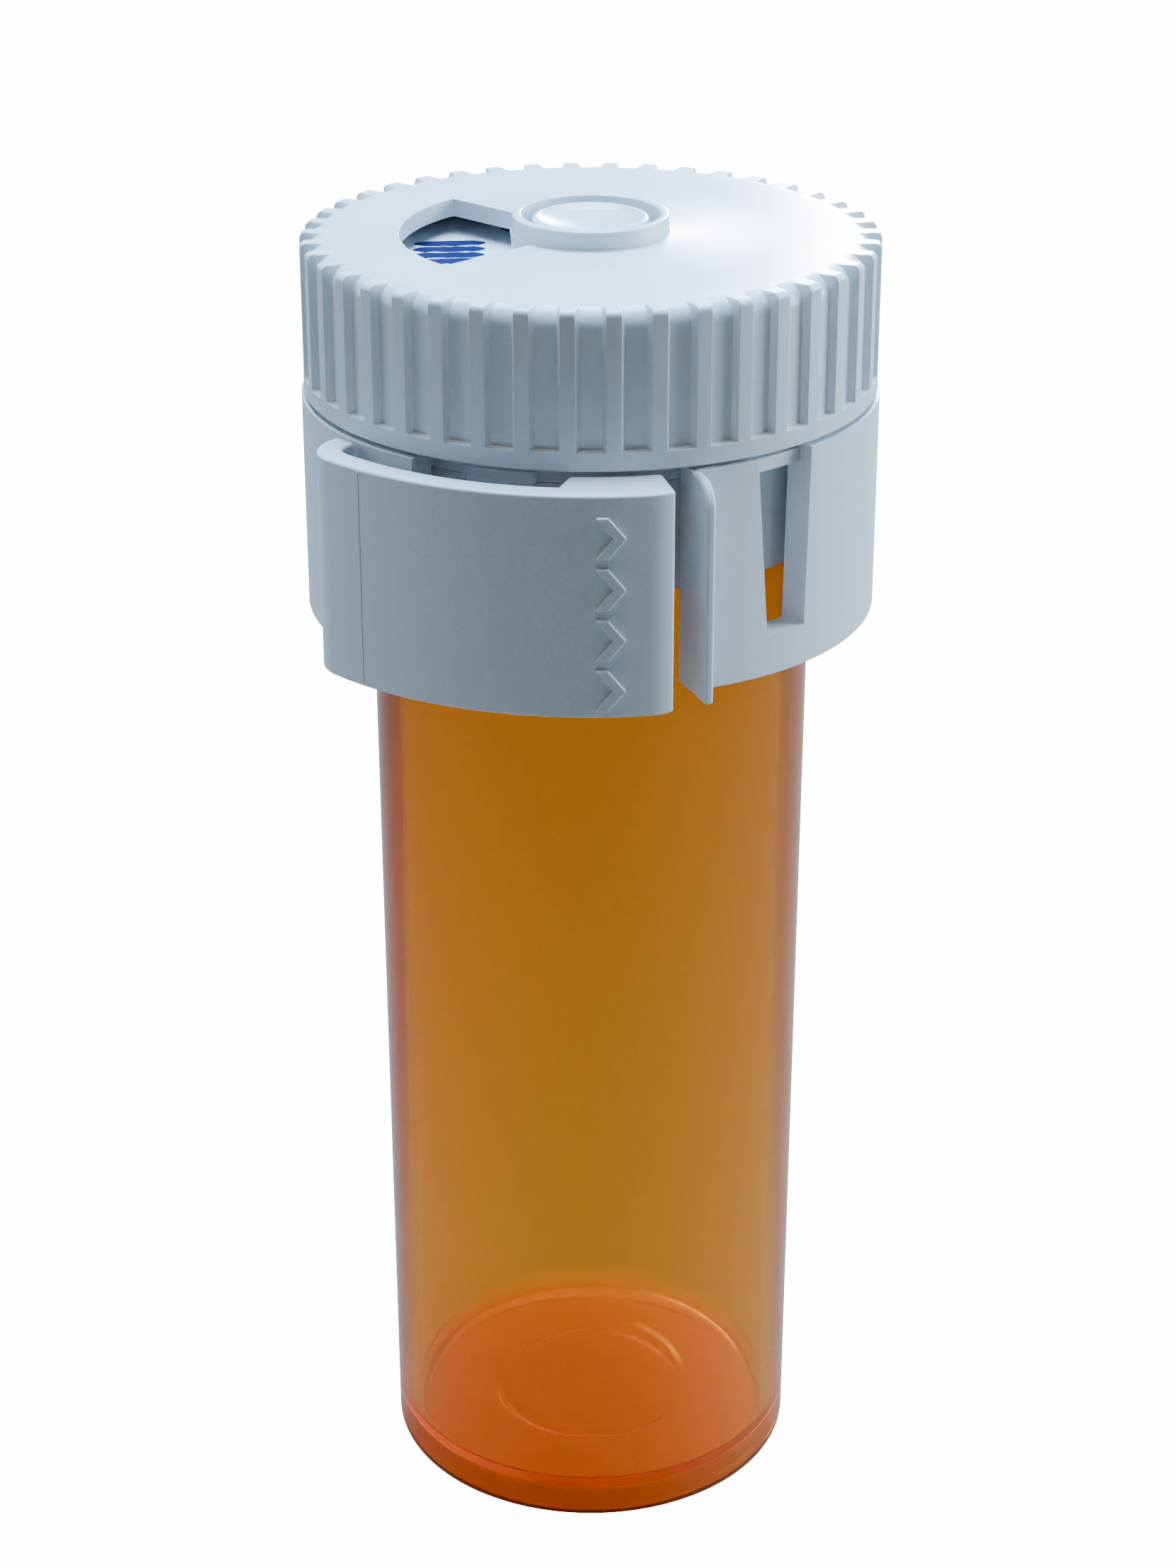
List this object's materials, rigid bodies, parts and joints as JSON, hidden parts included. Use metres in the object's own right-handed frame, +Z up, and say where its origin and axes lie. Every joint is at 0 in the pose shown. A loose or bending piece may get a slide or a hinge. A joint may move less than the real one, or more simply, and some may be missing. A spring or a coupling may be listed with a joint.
{
  "type": "prescription vial",
  "caption": "Amber prescription vial with a push-lever bayonet closure and a ribbed dial that turns over a day disc.",
  "frame": {"origin": "centre of the vial's foot ring, on the vial's axis, at the height it stands on", "axes": "+Z up along the vial's axis, -Y towards the push lever, -X towards the dial's window at rest"},
  "size_m": [0.0484, 0.0532, 0.1169],
  "materials": {
    "amber_polypropylene": "gloss",
    "white_polypropylene": "satin",
    "seal_foam": "matte",
    "disc_polystyrene": "satin",
    "acetal": "satin"
  },
  "bodies": {
    "vial": {"vial_body": "amber_polypropylene"},
    "seal": {"seal_ring": "seal_foam"},
    "closure": {"bayonet_collar": "white_polypropylene", "closure_skirt": "white_polypropylene", "day_disc": "disc_polystyrene", "pivot_stud": "white_polypropylene", "stud_clip": "acetal", "index_spring": "acetal"},
    "lever": {"push_lever": "white_polypropylene"},
    "dial": {"day_dial": "white_polypropylene"}
  },
  "joints": [
    {"name": "closure_lift", "type": "slide", "parent": "vial", "child": "seal", "axis": [0, 0, 1], "range_m": [0, 0.045]},
    {"name": "closure_turn", "type": "hinge", "parent": "seal", "child": "closure", "pos_m": [0, 0, 0.0959], "axis": [0, 0, 1], "range_deg": [-25, 0]},
    {"name": "lever_push", "type": "hinge", "parent": "closure", "child": "lever", "pos_m": [-0.01953, -0.01502, 0.0931], "axis": [0, 0, 1], "range_deg": [0, 4.5], "stiffness_Nm_per_rad": 1.8},
    {"name": "day_dial_turn", "type": "hinge", "parent": "closure", "child": "dial", "pos_m": [0, 0, 0.113], "axis": [0, 0, 1], "continuous": true}
  ]
}
